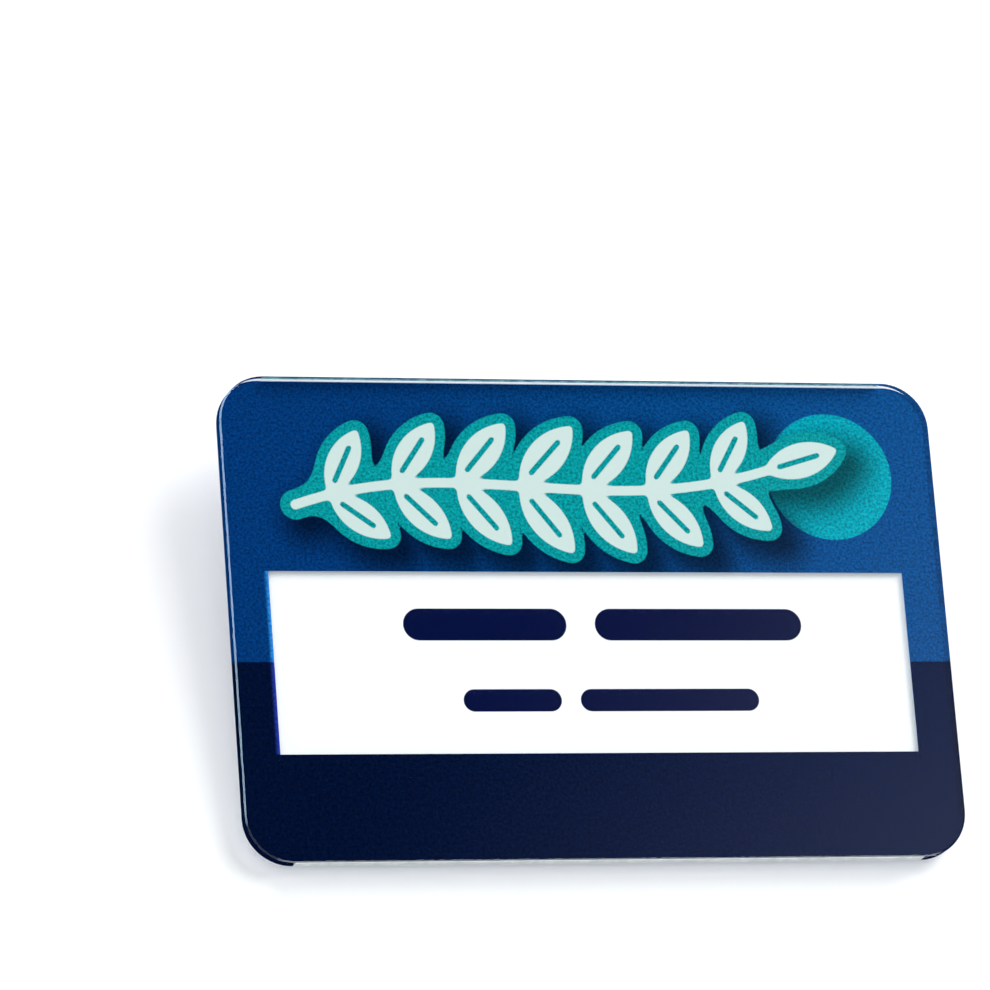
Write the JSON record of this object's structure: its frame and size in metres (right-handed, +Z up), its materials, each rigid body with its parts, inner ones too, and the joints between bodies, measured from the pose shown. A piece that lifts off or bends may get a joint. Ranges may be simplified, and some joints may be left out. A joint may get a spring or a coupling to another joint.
{
  "type": "name badge",
  "caption": "Flat name badge with a clear bevelled face over a two-tone print, a windowed card pocket with a thumb notch, and a sprung pin bar on the back.",
  "frame": {"origin": "the point on the table under the middle of the badge's box, with the badge lying on its back as it rests by itself", "axes": "+X to the right as one reads the badge, towards the side with the thumb notch; +Y towards its top edge; +Z up, out of its tilted face"},
  "size_m": [0.075, 0.0496, 0.0112],
  "materials": {
    "clear_acrylic": "polished clear acrylic, both rims bevelled",
    "face_print": "reverse print in blue and navy, seen through the clear panel, pale blue from behind",
    "card": "smooth white card with plain dark bars",
    "white_moulding": "fine matt moulding grain",
    "steel_wire": "bright drawn wire"
  },
  "bodies": {
    "badge": {"front_panel": "clear_acrylic", "printed_face": "face_print", "back_shell": "white_moulding", "pin_bar": "white_moulding"},
    "card": {"name_insert": "card"},
    "pin": {"pin_wire": "steel_wire"}
  },
  "joints": [
    {"name": "insert_slide", "type": "slide", "parent": "badge", "child": "card", "axis": [1, 0, 0], "range_m": [0, 0.072]},
    {"name": "pin_swing", "type": "hinge", "parent": "badge", "child": "pin", "pos_m": [-0.0154, 0.00994, 0.00269], "axis": [0, 0.1554, -0.9879], "range_deg": [0, 15], "stiffness_Nm_per_rad": 0.05}
  ]
}
